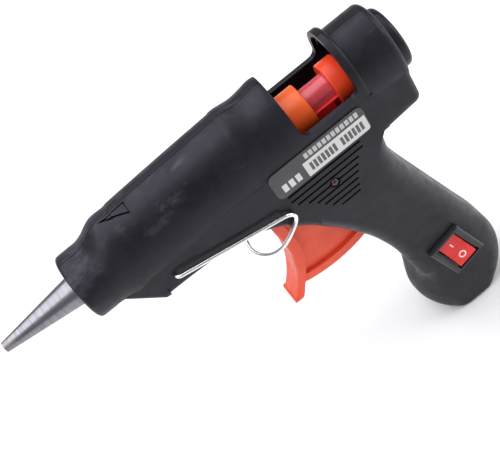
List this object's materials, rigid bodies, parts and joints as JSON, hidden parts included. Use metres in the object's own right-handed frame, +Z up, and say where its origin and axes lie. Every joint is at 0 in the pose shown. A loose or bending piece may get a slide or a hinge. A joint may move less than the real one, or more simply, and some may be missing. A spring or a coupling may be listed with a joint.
{
  "type": "glue gun",
  "caption": "Hand-held hot glue gun with an aluminium nozzle, sprung trigger, sliding stick feed, fold-out wire stand and a rocker switch in the grip.",
  "frame": {"origin": "centre of the glue outlet at the nozzle's tip", "axes": "+X back along the barrel to the stick inlet, +Z up away from the grip, -Y the side with the switch, lamp and label"},
  "size_m": [0.1619, 0.0344, 0.1495],
  "materials": {
    "housing_plastic": "fine moulded texture, slightly scuffed",
    "nozzle_aluminium": "turned",
    "chamber_aluminium": "cast, dull",
    "ceramic": "matt",
    "electrode": "plain sheet",
    "film": "wrapped film",
    "silicone": "soft, matt",
    "spring_steel": "bright wire",
    "orange_plastic": "moulded, satin",
    "dark_red_plastic": "moulded, slightly translucent",
    "red_orange_plastic": "moulded, satin",
    "trigger_plastic": "moulded, satin",
    "bright_wire": "bright plated wire",
    "switch_black": "moulded",
    "switch_red": "moulded",
    "brass": "plain",
    "lamp_red": "tinted lens",
    "label_film": "printed film",
    "screw_steel": "zinc plated",
    "wire_red": "insulated wire"
  },
  "bodies": {
    "housing": {"left_housing": "housing_plastic", "right_housing": "housing_plastic", "nozzle": "nozzle_aluminium", "melt_chamber": "chamber_aluminium", "heater_chip": "ceramic", "heater_electrodes": "electrode", "heater_insulation": "film", "inlet_sleeve": "silicone", "sleeve_clip": "spring_steel", "trigger_pin": "screw_steel", "switch_body": "switch_black", "switch_terminals": "brass", "led": "lamp_red", "led_leads": "screw_steel", "label": "label_film", "housing_screws": "screw_steel", "heater_wires": "wire_red"},
    "trigger": {"trigger": "trigger_plastic"},
    "carriage": {"feed_carriage": "orange_plastic", "feed_sleeve": "dark_red_plastic", "feed_ring_rear": "red_orange_plastic", "jaw_pin": "spring_steel", "return_spring": "spring_steel"},
    "jaw": {"grip_jaw": "spring_steel"},
    "stand": {"stand_wire": "bright_wire"},
    "rocker": {"switch_rocker": "switch_red"}
  },
  "joints": [
    {"name": "trigger_pull", "type": "hinge", "parent": "housing", "child": "trigger", "pos_m": [0.1035, 0, -0.02], "axis": [0, -1, 0], "range_deg": [0, 19.85], "stiffness_Nm_per_rad": 0.3, "springref_deg": -22.92},
    {"name": "feed_slide", "type": "slide", "parent": "housing", "child": "carriage", "axis": [-1, 0, 0], "range_m": [0, 0.00701], "deforming": ["return_spring"]},
    {"name": "jaw_tilt", "type": "hinge", "parent": "carriage", "child": "jaw", "pos_m": [0.1324, 0, -0.0062], "axis": [0, 1, 0], "range_deg": [0, 6]},
    {"name": "stand_fold", "type": "hinge", "parent": "housing", "child": "stand", "pos_m": [0.0579, 0, -0.0106], "axis": [0, 1, 0], "range_deg": [0, 78]},
    {"name": "switch_rock", "type": "hinge", "parent": "housing", "child": "rocker", "pos_m": [0.142, -0.01003, -0.0937], "axis": [0.9593, 0, 0.2823], "range_deg": [0, 18]}
  ],
  "couplings": [
    {"joint": "feed_slide", "follows": "trigger_pull", "m_per_rad": 0.0202},
    {"joint": "jaw_tilt", "follows": "trigger_pull", "ratio": 0.3}
  ]
}
